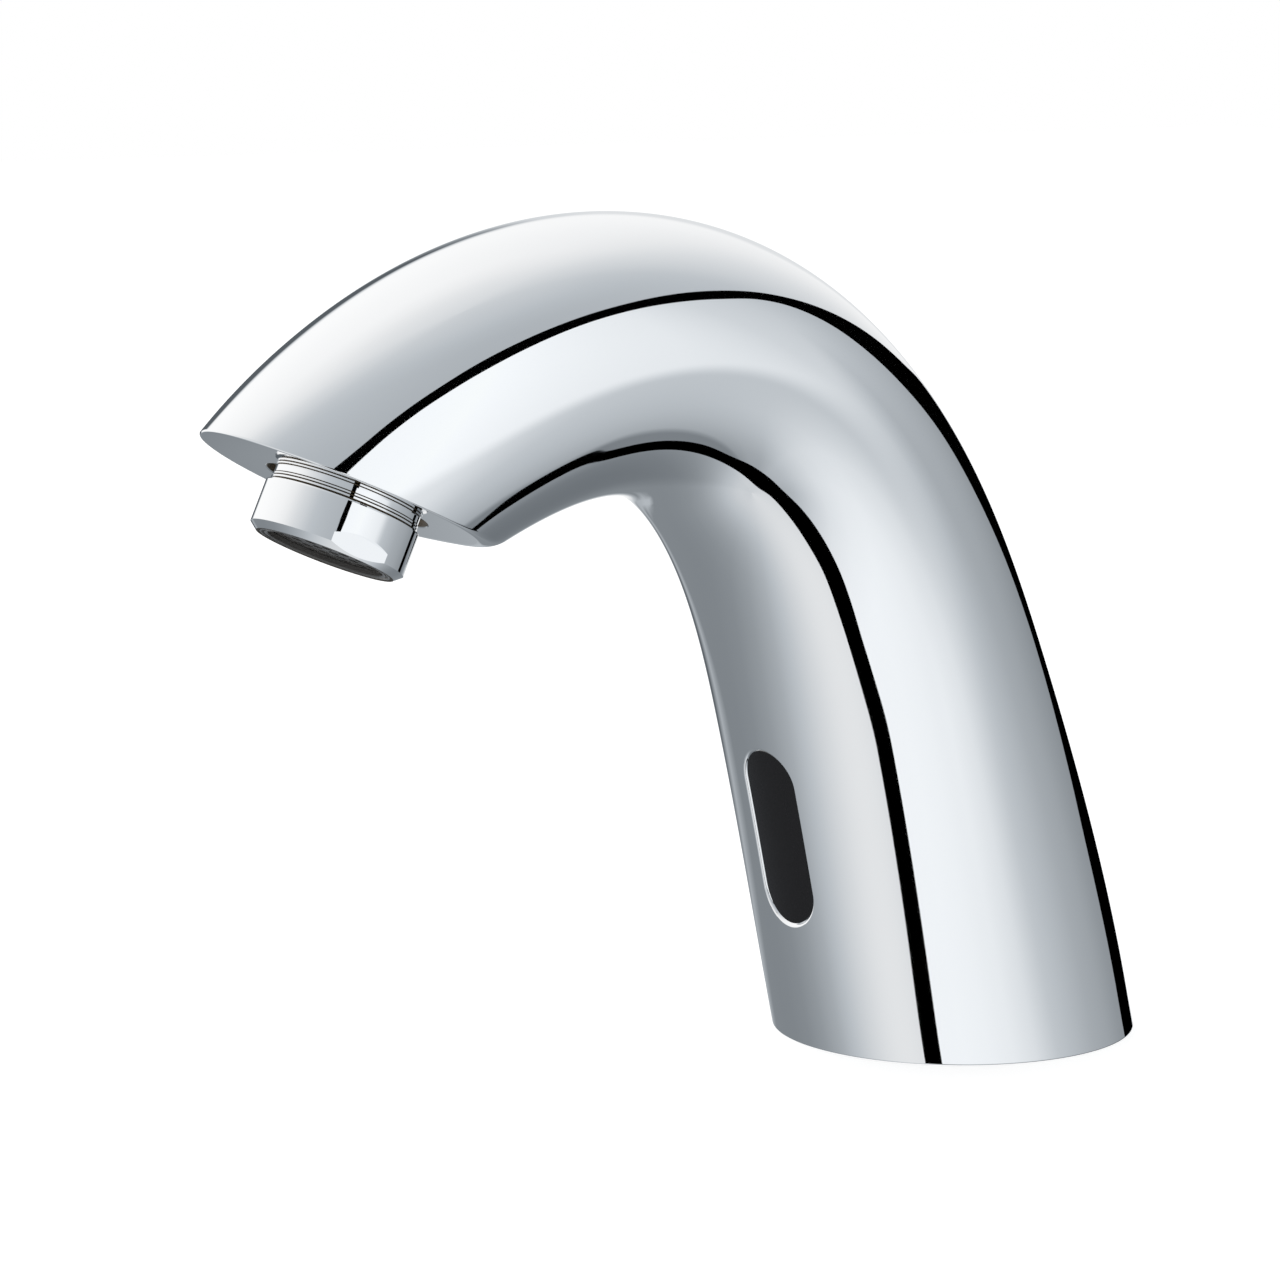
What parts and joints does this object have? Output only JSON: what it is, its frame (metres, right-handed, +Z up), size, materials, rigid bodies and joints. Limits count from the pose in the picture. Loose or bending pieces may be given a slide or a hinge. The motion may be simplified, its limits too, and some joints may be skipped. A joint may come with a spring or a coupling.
{
  "type": "sensor basin tap",
  "caption": "Deck-mounted sensor basin tap: leaning chromed leg that bends into a tapering spout with a slanted outlet, screw-on aerator and dark sensor window.",
  "frame": {"origin": "centre of the round foot on the deck", "axes": "+Z up from the deck, the spout reaches towards -Y, and X = 0 is the plane of symmetry"},
  "size_m": [0.06, 0.1718, 0.1372],
  "materials": {
    "plated_brass": "mirror-bright chrome plating",
    "brass": "turned brass",
    "copper_tube": "drawn copper tube",
    "steel": "plain stainless steel",
    "steel_mesh": "fine stainless mesh",
    "seal_rubber": "black sealing rubber",
    "jet_plastic": "dark grey moulded plastic",
    "dark_lens": "near-black infrared-clear lens",
    "sensor_plastic": "black moulded plastic",
    "board": "green lacquered board",
    "eye_plastic": "dark tinted plastic"
  },
  "bodies": {
    "tap": {"body_shell": "plated_brass", "outlet_nipple": "brass", "nipple_ring": "seal_rubber", "inlet_tube_olive": "brass", "inlet_tube_nut": "brass", "outlet_tube_olive": "brass", "outlet_tube_nut": "brass", "water_tube": "copper_tube", "base_plug": "brass", "plug_ring": "seal_rubber", "plug_screw_1": "steel", "plug_screw_2": "steel", "plug_screw_3": "steel", "deck_gasket": "seal_rubber", "inlet_fitting": "brass", "inlet_filter": "steel_mesh", "cable_grommet": "seal_rubber", "sensor_lens": "dark_lens", "lens_gasket": "seal_rubber", "sensor_housing": "sensor_plastic", "sensor_cover": "sensor_plastic", "circuit_board": "board", "ir_emitter": "eye_plastic", "ir_receiver": "eye_plastic", "light_baffle": "sensor_plastic", "sensor_screw_1": "steel", "sensor_screw_2": "steel"},
    "washer": {"aerator_washer": "seal_rubber"},
    "aerator": {"aerator_housing": "plated_brass", "aerator_insert": "jet_plastic", "aerator_screen_1": "steel_mesh", "aerator_screen_2": "steel_mesh", "aerator_grille": "jet_plastic"}
  },
  "joints": [
    {"name": "aerator_travel", "type": "slide", "parent": "tap", "child": "washer", "axis": [0, -0.4289, -0.9033], "range_m": [0, 0.00351]},
    {"name": "aerator_turn", "type": "hinge", "parent": "washer", "child": "aerator", "pos_m": [0, -0.11934, 0.09691], "axis": [0, -0.4289, -0.9033], "range_deg": [0, 1260]}
  ],
  "couplings": [
    {"joint": "aerator_travel", "follows": "aerator_turn", "m_per_rad": 0.00015915}
  ]
}
